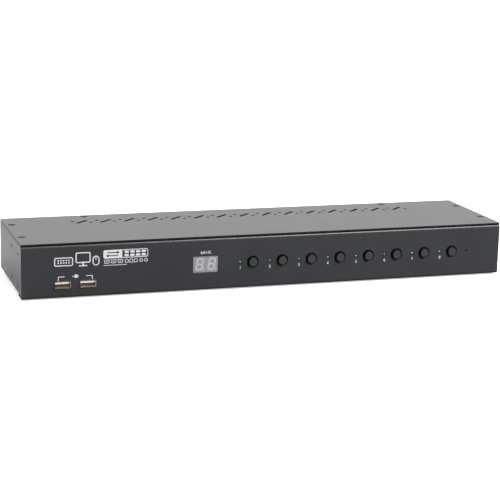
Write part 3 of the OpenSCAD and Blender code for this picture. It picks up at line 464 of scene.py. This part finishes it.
class Relief:
    """Thin slabs on a plane, all of one height; place maps (x, y, depth) in mm on the plane to metres."""

    def __init__(self, place, height=INK_MM):
        self.place = place
        self.height = height
        self.points = []
        self.faces = []

    def fill(self, outline):
        """A slab over a closed outline."""
        base, count = len(self.points), len(outline)
        for depth in (0, self.height):
            self.points += [self.place(x, y, depth) for x, y in outline]
        self.faces.append(tuple(base + i for i in reversed(range(count))))
        self.faces.append(tuple(base + count + i for i in range(count)))
        for i in range(count):
            j = (i + 1) % count
            self.faces.append((base + i, base + j, base + count + j, base + count + i))

    def line(self, points, width, closed=False):
        """A slab along a line."""
        left, right = stroke(points, width, closed)
        base, count = len(self.points), len(left)
        for side, depth in ((left, 0), (right, 0), (left, self.height), (right, self.height)):
            self.points += [self.place(x, y, depth) for x, y in side]
        low_l, low_r, top_l, top_r = (base + count * k for k in range(4))
        for i in range(count if closed else count - 1):
            j = (i + 1) % count
            for a, b in ((low_l, low_r), (top_r, top_l), (top_l, low_l), (low_r, top_r)):
                self.faces.append((a + i, a + j, b + j, b + i))
        if not closed:
            end = count - 1
            self.faces.append((low_l, low_r, top_r, top_l))
            self.faces.append((low_r + end, low_l + end, top_l + end, top_r + end))

    def ring(self, x, y, radius, width):
        """A slab along a circle."""
        self.line(circle(x, y, radius), width, closed=True)

    def dot(self, x, y, radius):
        """A round slab."""
        self.fill(circle(x, y, radius))

    def piece(self, name, material, body=ROOT):
        """All the slabs so far, as one piece."""
        add_piece(name, self.points, self.faces, material, body)


def on_front(x, z, depth):
    """x from the panel's left edge, z from its lower edge and depth out of it, in mm, as a point."""
    return (LEFT_X + x * MM, FRONT_Y - depth * MM, LIP_Z + z * MM)


def on_rear(x, z, depth):
    """x from the case's middle, z from the front panel's lower edge and depth out of the rear panel."""
    return (x * MM, REAR_Y + depth * MM, LIP_Z + z * MM)


def middle_of(node_name):
    """A node's middle on the front, in mm as on_front takes them."""
    low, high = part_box(node_name)
    return ((low.x + high.x) / 2 - LEFT_X) / MM, ((low.z + high.z) / 2 - LIP_Z) / MM


CAP_HEIGHT = 0.73  # height of a capital letter in a font of size 1


def lettering(name, words, height, place, turn, weight=0.0):
    """Raised printed characters: words holds (text, x, y) in mm on the plane that place maps. Turn is -1
    on a plane whose x runs to the left."""
    points, faces = [], []
    for text, x, y in words:
        curve = bpy.data.curves.new(name, "FONT")
        curve.body = text
        curve.size = height / CAP_HEIGHT
        curve.align_x = "CENTER"
        curve.align_y = "BOTTOM_BASELINE"
        curve.offset = weight
        curve.extrude = INK_MM / 2
        curve.resolution_u = 4
        holder = bpy.data.objects.new(name, curve)
        flat = bpy.data.meshes.new_from_object(holder)
        base = len(points)
        points += [place(x + turn * v.co.x, y + v.co.y, v.co.z + INK_MM / 2) for v in flat.vertices]
        faces += [tuple(base + i for i in p.vertices) for p in flat.polygons]
        bpy.data.meshes.remove(flat)
        bpy.data.objects.remove(holder)
        bpy.data.curves.remove(curve)
    add_piece(name, points, faces, WHITE_INK)


# ---------- front legends ----------

BUTTON_X = [middle_of(f"button_cap_{k}")[0] for k in range(1, PORTS + 1)]
CONTROL_Z = middle_of("button_cap_1")[1]
DISPLAY_X, DISPLAY_Z = middle_of("bank_display")
SOCKETS_X = middle_of("front_usb_shells")[0]


def front_numbers():
    """The port numbers under the lamps, where the one is a plain bar, and the word over the display."""
    number_height, number_left, number_drop = 2.25, 10.5, 5.5
    label_height, label_rise = 2.45, 8.5
    words = [(digit, x - number_left, CONTROL_Z - number_drop) for digit, x in zip("I2345678", BUTTON_X)]
    lettering("front_port_numbers", words, number_height, on_front, 1, weight=0.05)
    lettering("bank_label", [("BANK", DISPLAY_X, DISPLAY_Z + label_rise)], label_height, on_front, 1)


def socket_brackets():
    """Corner lines over the two front sockets, with a plain plug symbol between them."""
    relief = Relief(on_front)
    middle = SOCKETS_X - 0.15
    half_w, low, high, corner, line_w = 13.45, 14.0, 17.0, 0.5, 0.58
    for side, start, arm in ((-1, 180, 5.0), (1, 0, 4.8)):
        x = middle + side * half_w
        bend = arc((x - side * corner, high - corner), corner, start, 90)
        relief.line([(x, low), *bend, (x - side * arm, high)], line_w)
    plug_z, plug_left, plug_w, plug_half = 17.1, middle - 0.55, 2.2, 1.3
    cord, cord_w, prong, prong_w, prong_offset = 2.0, 0.6, 1.0, 0.5, 0.65
    plug_right = plug_left + plug_w
    relief.fill(round_rect(plug_left, plug_z - plug_half, plug_right, plug_z + plug_half, 0.4))
    relief.line([(plug_left - cord, plug_z), (plug_left, plug_z)], cord_w)
    for z in (plug_z - prong_offset, plug_z + prong_offset):
        relief.line([(plug_right, z), (plug_right + prong, z)], prong_w)
    relief.piece("socket_brackets", WHITE_INK)


def keyboard_symbol(relief, left, low):
    """An outline with two rows of keys."""
    width, height, corner, line_w = 14.0, 6.2, 0.9, 0.8
    key_left, key_top, key_w, key_h, pitch_x, pitch_z = 2.2, 3.6, 1.2, 1.1, 2.1, 1.9
    relief.line(round_rect(left, low, left + width, low + height, corner), line_w, closed=True)
    for row in range(2):
        for column in range(5):
            x = left + key_left + column * pitch_x
            z = low + key_top - row * pitch_z
            relief.fill(round_rect(x, z, x + key_w, z + key_h, 0.2))


def screen_symbol(relief, x, low, high):
    """An outline on a stand with a flat foot."""
    half_w, corner, line_w, stand_w = 5.5, 0.9, 0.9, 1.2
    glass_z, foot_z, foot_half = low + 3.2, low + 0.5, 3.3
    relief.line(round_rect(x - half_w, glass_z, x + half_w, high, corner), line_w, closed=True)
    relief.line([(x, glass_z - line_w / 2), (x, foot_z + line_w / 2)], stand_w)
    relief.line([(x - foot_half, foot_z), (x + foot_half, foot_z)], line_w)


def mouse_symbol(relief, x, low, high):
    """A long round outline with a line between its two buttons."""
    half_w, corner, line_w, split, split_w = 2.3, 2.2, 0.8, 3.0, 0.7
    relief.line(round_rect(x - half_w, low, x + half_w, high, corner), line_w, closed=True)
    relief.line([(x, high - line_w / 2), (x, high - split)], split_w)


def device_symbols():
    """A keyboard, a screen and a mouse, drawn as plain line symbols."""
    relief = Relief(on_front)
    low, high = 24.6, 35.4
    keyboard_symbol(relief, 26.2, low + 1.2)
    screen_symbol(relief, 48.5, low, high)
    mouse_symbol(relief, 58.7, low + 0.6, high - 3.2)
    relief.piece("device_symbols", WHITE_INK)


def arrow(relief, tail, tip, z):
    """A straight arrow from tail to tip."""
    line_w, head, head_half = 0.75, 1.9, 1.425
    neck = tip - math.copysign(head, tip - tail)
    relief.line([(tail, z), (neck, z)], line_w)
    relief.fill([(neck, z + head_half), (neck, z - head_half), (tip, z)])


def selector_symbol():
    """A framed strip: opposed arrows on a white block for the switching, and a cell for each computer."""
    white, black = Relief(on_front), Relief(on_front, 2 * INK_MM)
    left, right, low, high, split = 64.5, 100.4, 29.8, 36.6, 79.6
    line_w, corner = 0.6, 1.3
    half = line_w / 2
    white.line(round_rect(left + half, low + half, right - half, high - half, corner), line_w, closed=True)
    block_low, block_high, block_corner = low + line_w, high - line_w, corner - half
    corner_x = left + line_w + block_corner
    white.fill(arc((corner_x, block_high - block_corner), block_corner, 90, 180)
               + arc((corner_x, block_low + block_corner), block_corner, 180, 270)
               + [(split, block_low), (split, block_high)])
    middle = (low + high) / 2
    tail, tip, arrow_rise = 3.0, 2.2, 1.25
    arrow(black, left + tail, split - tip, middle + arrow_rise)
    arrow(black, split - tail, left + tip, middle - arrow_rise)
    cell_w, cell_h, cell_left, cell_rise, pitch, row = 3.4, 1.8, 1.9, 0.45, 4.55, PORTS // 2
    for k in range(PORTS):
        x = split + cell_left + (k % row) * pitch
        z = middle + cell_rise if k < row else middle - cell_rise - cell_h
        white.fill(round_rect(x, z, x + cell_w, z + cell_h, 0.3))
    white.piece("selector_symbol", WHITE_INK)
    black.piece("selector_arrows", BLACK_INK)


def socket_symbols():
    """A row of small outlines in the shapes of the sockets on the back, over a thin rule."""
    relief = Relief(on_front)
    low, high, line_w, mark_w = 26.1, 28.6, 0.45, 0.5
    middle = (low + high) / 2
    video_x, video_pitch, video_w, taper, blade_left, blade_right = 65.2, 5.4, 4.2, 0.5, 1.3, 3.0
    for k in range(3):
        x = video_x + k * video_pitch
        relief.line([(x, high), (x + video_w, high), (x + video_w - taper, low), (x + taper, low)], line_w,
                    closed=True)
        relief.line([(x + blade_left, middle), (x + blade_right, middle)], mark_w)
    usb_x, usb_pitch, usb_w, bevel = 82.0, 3.6, 2.5, 0.6
    for k in range(3):
        x = usb_x + k * usb_pitch
        relief.line([(x, low), (x + usb_w, low), (x + usb_w, high - bevel), (x + usb_w - bevel, high),
                     (x + bevel, high), (x, high - bevel)], line_w, closed=True)
    audio_x, audio_pitch, audio_r = 94.8, 4.0, 1.2
    for k in range(2):
        relief.ring(audio_x + k * audio_pitch, middle, audio_r, mark_w)
    rule_left, rule_right, rule_z = 64.6, 83.4, 24.4
    relief.line([(rule_left, rule_z), (rule_right, rule_z)], line_w)
    relief.piece("socket_symbols", WHITE_INK)


# ---------- the bank display ----------

def bank_digits():
    """Two slanted seven-segment digits and their points, moulded into the display's face."""
    digit_h, digit_w, spread, shift = 8.7, 4.9, 5.0, 0.05
    slant = math.tan(math.radians(10))
    half_h, half_w = digit_h / 2, digit_w / 2
    bar_half, bar_gap, rise, sunk = 0.6, 0.12, 0.1, 0.02
    point_r, point_right, point_drop = 0.6, 0.75, 0.05
    face_depth = (FRONT_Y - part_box("bank_display")[0].y) / MM

    def on_face(x, z, depth):
        """As on_front, with depth from just under the display's face."""
        return on_front(x, z, depth + face_depth - sunk)

    def bar(start, end):
        """A bar with pointed ends, as (along, across)."""
        a, b, w = start + bar_gap, end - bar_gap, bar_half
        return [(a, 0), (a + w, -w), (b - w, -w), (b, 0), (b - w, w), (a + w, w)]

    bars = [[(x, z + across) for x, across in bar(-half_w, half_w)] for z in (-half_h, 0, half_h)]
    for x in (-half_w, half_w):
        for low, high in ((-half_h, 0), (0, half_h)):
            bars.append([(x - across, z) for z, across in bar(low, high)])

    relief = Relief(on_face, rise)
    for side in (-1, 1):
        centre = DISPLAY_X + side * spread + shift
        for points in bars:
            relief.fill([(centre + x + z * slant, DISPLAY_Z + z) for x, z in points])
        relief.dot(centre + half_w + point_right, DISPLAY_Z - half_h - point_drop, point_r)
    relief.piece("bank_digits", SEGMENT)


# ---------- metalwork inside the type A sockets ----------

def bowed(start, length, rise, bow, arches=1.0, steps=10):
    """A strip's (distance, height) in mm: it bows over 1 / arches of its length, and the rest is flat."""
    return [(start + length * i / steps, rise + bow * math.sin(math.pi * min(1, arches * i / steps)))
            for i in range(steps + 1)]


def strips(name, places, profile, width_mm, thickness_mm, material):
    """Bent strips with one (y, z) profile, one at each x of places, in metres."""
    half_w, thickness = width_mm / 2 * MM, thickness_mm * MM
    corners = ((-half_w, 0), (half_w, 0), (half_w, thickness), (-half_w, thickness))
    last = 4 * (len(profile) - 1)
    points, faces = [], []
    for x in places:
        base = len(points)
        points += [(x + dx, y, z + dz) for y, z in profile for dx, dz in corners]
        for ring in range(base, base + last, 4):
            for j in range(4):
                k = (j + 1) % 4
                faces.append((ring + j, ring + k, ring + 4 + k, ring + 4 + j))
        faces.append(tuple(base + j for j in (3, 2, 1, 0)))
        faces.append(tuple(base + last + j for j in range(4)))
    add_piece(name, points, faces, material)


def socket_springs(shells, tongues, out):
    """In two type A sockets that open along out, which is -1 or 1 in Y: four sprung contacts under each
    tongue, and two pressed springs on each shell's floor."""
    shell_low, shell_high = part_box(shells)
    tongue_low, tongue_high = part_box(tongues)
    mouth, tip = (shell_low.y, tongue_low.y) if out < 0 else (shell_high.y, tongue_high.y)
    sheet, contact_pitch, spring_offset = 0.4 * MM, 2.3 * MM, 2.9 * MM
    floor = shell_low.z + sheet
    middles = (shell_low.x + SOCKET_W / 2, shell_high.x - SOCKET_W / 2)
    contact_x = [middle + (k - 1.5) * contact_pitch for middle in middles for k in range(4)]
    spring_x = [middle + side * spring_offset for middle in middles for side in (-1, 1)]
    contact = bowed(0.7, 8.5, 0.12, 0.38, arches=2.2)
    contact = [(tip - out * distance * MM, tongue_low.z - height * MM) for distance, height in contact]
    spring = bowed(1.0, 6.0, 0.05, 0.42)
    spring = [(mouth - out * distance * MM, floor + height * MM) for distance, height in spring]
    strips(shells + "_contacts", contact_x, contact, 1.0, 0.12, GOLD)
    strips(shells + "_springs", spring_x, spring, 2.0, 0.2, NICKEL)


# ---------- rear legends ----------

REAR_LABEL_Z = (COVER_LOW.z - LIP_Z) / MM - 2.6  # base line of the numbers, under the cover's plate
REAR_RULE_Z = REAR_LABEL_Z + 1.0                 # the lines run through the numbers' middles
DVI_LOW, DVI_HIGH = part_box("dvi_shells")
DVI_HALF = 19.5  # half the width of one shell's flange
GROUP_PITCH = ((DVI_HIGH.x - DVI_LOW.x) / MM - 2 * DVI_HALF) / PORTS
GROUP_X = [DVI_HIGH.x / MM - DVI_HALF - k * GROUP_PITCH for k in range(PORTS + 1)]


def rear_numbers():
    """A number over each computer's group of sockets."""
    number_height = 2.0
    words = [(str(k + 1), GROUP_X[k], REAR_LABEL_Z) for k in range(PORTS)]
    lettering("rear_port_numbers", words, number_height, on_rear, -1, weight=0.05)


def group_brackets():
    """A line over each group of sockets, broken by its number or, for the console's group, by a screen."""
    relief = Relief(on_rear)
    half_w, drop, line_w, number_gap, screen_gap = 18.3, 1.4, 0.35, 2.4, 4.6
    for k, x in enumerate(GROUP_X):
        gap = number_gap if k < PORTS else screen_gap
        for side in (-1, 1):
            end = x + side * half_w
            relief.line([(x + side * gap, REAR_RULE_Z), (end, REAR_RULE_Z), (end, REAR_RULE_Z - drop)],
                        line_w)
    x, foot_z = GROUP_X[PORTS], REAR_LABEL_Z - 2.9
    glass_low, glass_high, glass_half, glass_corner, glass_w = foot_z + 1.0, foot_z + 5.1, 3.2, 0.5, 0.45
    stand_low, stand_high, stand_w, foot_half, foot_w = foot_z + 0.22, foot_z + 0.77, 0.6, 1.8, 0.44
    relief.line(round_rect(x - glass_half, glass_low, x + glass_half, glass_high, glass_corner), glass_w,
                closed=True)
    relief.line([(x, stand_high), (x, stand_low)], stand_w)
    relief.line([(x - foot_half, foot_z), (x + foot_half, foot_z)], foot_w)
    relief.piece("group_brackets", WHITE_INK)


def polarity_symbol(relief, x, z, line_w):
    """A pin in an open sleeve, joined to a plus in a ring on one side and a minus in a ring on the other
    side."""
    reach, ring_r, sleeve_r, pin_r, sign_half = 4.3, 1.15, 1.3, 0.5, 0.6
    wire_end = reach - ring_r - line_w / 2
    relief.line(arc((x, z), sleeve_r, 40, 320, 20), line_w)
    relief.dot(x, z, pin_r)
    relief.line([(x + pin_r, z), (x + wire_end, z)], line_w)
    relief.line([(x - sleeve_r - line_w / 2, z), (x - wire_end, z)], line_w)
    for side in (-1, 1):
        relief.ring(x + side * reach, z, ring_r, line_w)
        relief.line([(x + side * reach - sign_half, z), (x + side * reach + sign_half, z)], line_w)
        relief.line([(x + reach, z + side * line_w / 2), (x + reach, z + side * sign_half)], line_w)


def earth_symbol(relief, x, z, line_w):
    """A stem down to three bars, each shorter than the one above it."""
    stem, bar_half, shorter, pitch = 1.6, 1.7, 0.6, 0.8
    relief.line([(x, z), (x, z - stem)], line_w)
    for k in range(3):
        half = bar_half - shorter * k
        bar_z = z - stem - line_w / 2 - pitch * k
        relief.line([(x - half, bar_z), (x + half, bar_z)], line_w)


def power_symbols():
    """Polarity of the power inlet's pin and sleeve, and the earth sign at the ground screw."""
    relief = Relief(on_rear)
    line_w = 0.32
    for node, drop, symbol in (("power_jack", 3.4, polarity_symbol), ("ground_screw", 1.2, earth_symbol)):
        low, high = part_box(node)
        symbol(relief, (low.x + high.x) / 2 / MM, (low.z - LIP_Z) / MM - drop, line_w)
    relief.piece("power_symbols", WHITE_INK)


def rocker_marks():
    """The bar and ring on the power rocker's two faces, which tilt with it."""
    low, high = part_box("power_switch_frame")
    pivot_depth, valley, face_rise, face_run, half_travel = 0.6 * MM, 2.4, 0.9, 5.7, math.radians(11)
    mark_s, ring_r, ring_w, bar_half, bar_w = 3.0, 0.95, 0.4, 1.0, 0.45
    pivot = Vector(((low.x + high.x) / 2, REAR_Y - pivot_depth, (low.z + high.z) / 2))
    slope = math.atan2(face_rise, face_run)
    tilt = Matrix.Rotation(half_travel, 4, "X")

    def on_face(half):
        """The upper (1) or lower (-1) face: x across it, s along it from the valley between them."""
        def place(x, s, depth):
            y = valley + s * math.sin(slope) + depth * math.cos(slope)
            z = half * (s * math.cos(slope) - depth * math.sin(slope))
            return tuple(pivot + tilt @ (Vector((x, y, z)) * MM))
        return place

    ring = Relief(on_face(1))
    ring.ring(0, mark_s, ring_r, ring_w)
    ring.piece("rocker_ring_mark", WHITE_INK, "power_rocker")
    bar = Relief(on_face(-1))
    bar.line([(0, mark_s - bar_half), (0, mark_s + bar_half)], bar_w)
    bar.piece("rocker_bar_mark", WHITE_INK, "power_rocker")


front_numbers()
socket_brackets()
device_symbols()
selector_symbol()
socket_symbols()
bank_digits()
socket_springs("front_usb_shells", "front_usb_tongues", -1)
socket_springs("console_usb_shells", "console_usb_tongues", 1)
rear_numbers()
group_brackets()
power_symbols()
rocker_marks()


# ---------- studio ----------

def studio_floor():
    """A pale floor. In reflections it is dark in front of the object, and bright behind it and on its
    left, where it also glows beside the case. The camera sees it white."""
    reach, front_y, middle_y, back_y = 12.0, -0.12, -0.06, 0.08
    side_edge, glow_start, glow_end = LEFT_X - 3 * MM, LEFT_X - 18 * MM, LEFT_X - 2 * MM
    front_tone, back_tone, side_tone, side_glow, camera_glow = 0.14, 0.9, 0.86, 0.48, 0.5
    mesh = bpy.data.meshes.new("studio_floor")
    mesh.from_pydata([(-reach, -reach, 0), (reach, -reach, 0), (reach, reach, 0), (-reach, reach, 0)], [],
                     [(0, 1, 2, 3)])
    g = Graph("studio_floor")
    x, y = g.axis("X"), g.axis("Y")
    behind = g.ramp(y, middle_y, back_y, front_tone, back_tone)
    beside = g.math("MULTIPLY", g.ramp(x, LEFT_X, side_edge), g.ramp(y, front_y, middle_y, 0, side_tone))
    glow = g.math("MULTIPLY", beside, g.ramp(x, glow_start, glow_end, 0, side_glow))
    seen = g.add("ShaderNodeLightPath").outputs["Is Camera Ray"]
    shade = g.mix(g.math("MAXIMUM", behind, beside), grey(0), grey(1))
    g.set(base_color=g.mix(seen, shade, grey(0.92)), roughness=0.9, specular_ior_level=0.1,
          emission_color=(1, 1, 1, 1),
          emission_strength=g.math("MAXIMUM", g.math("MULTIPLY", seen, camera_glow), glow))
    mesh.materials.append(g.material)
    floor = bpy.data.objects.new("studio_floor", mesh)
    bpy.context.scene.collection.objects.link(floor)


def studio_world():
    """White where the camera sees it; as a light, dim in front of the object and bright behind it."""
    dim, bright, blend = 0.35, 1.56, 0.6
    world = bpy.data.worlds.new("studio")
    world.use_nodes = True
    tree = world.node_tree
    background = tree.nodes["Background"]
    background.inputs["Color"].default_value = (1, 1, 1, 1)
    coordinates = tree.nodes.new("ShaderNodeTexCoord")
    axes = tree.nodes.new("ShaderNodeSeparateXYZ")
    tree.links.new(coordinates.outputs["Generated"], axes.inputs[0])
    grade = tree.nodes.new("ShaderNodeMapRange")
    tree.links.new(axes.outputs["Y"], grade.inputs["Value"])
    for name, value in (("From Min", -blend), ("From Max", blend), ("To Min", dim), ("To Max", bright)):
        grade.inputs[name].default_value = value
    path = tree.nodes.new("ShaderNodeLightPath")
    choose = tree.nodes.new("ShaderNodeMix")
    tree.links.new(path.outputs["Is Camera Ray"], choose.inputs["Factor"])
    tree.links.new(grade.outputs[0], choose.inputs["A"])
    choose.inputs["B"].default_value = 1.0
    tree.links.new(choose.outputs[0], background.inputs["Strength"])
    bpy.context.scene.world = world


def studio_light(name, place, width, height, power):
    """A rectangular light that faces the middle of the case."""
    light = bpy.data.lights.new(name, "AREA")
    light.shape = "RECTANGLE"
    light.size = width
    light.size_y = height
    light.energy = power
    holder = bpy.data.objects.new(name, light)
    holder.location = place
    holder.rotation_euler = (CASE_MIDDLE - Vector(place)).to_track_quat("-Z", "Y").to_euler()
    bpy.context.scene.collection.objects.link(holder)


def studio_camera():
    """The viewpoint: left of the front, a little above it, from just over a metre."""
    azimuth, elevation, roll = map(math.radians, (18.067, 12.866, 1.282))
    aim_x, aim_z, distance, sensor_mm, lens_mm = -18.48 * MM, 30.95 * MM, 1.2296, 36, 110.3
    aim = Vector((aim_x, FRONT_Y, LIP_Z + aim_z))
    towards = Vector((math.sin(azimuth) * math.cos(elevation), math.cos(azimuth) * math.cos(elevation),
                      -math.sin(elevation)))
    data = bpy.data.cameras.new("camera")
    data.sensor_width = sensor_mm
    data.lens = lens_mm
    camera = bpy.data.objects.new("camera", data)
    turn = towards.to_track_quat("-Z", "Y").to_matrix().to_4x4() @ Matrix.Rotation(roll, 4, "Z")
    camera.matrix_world = Matrix.Translation(aim - towards * distance) @ turn
    bpy.context.scene.collection.objects.link(camera)
    bpy.context.scene.camera = camera


studio_floor()
studio_world()
studio_light("key", place=(0.73, -1.0, 1.2), width=0.95, height=0.75, power=36)
studio_camera()
bpy.context.scene.view_settings.view_transform = "Standard"
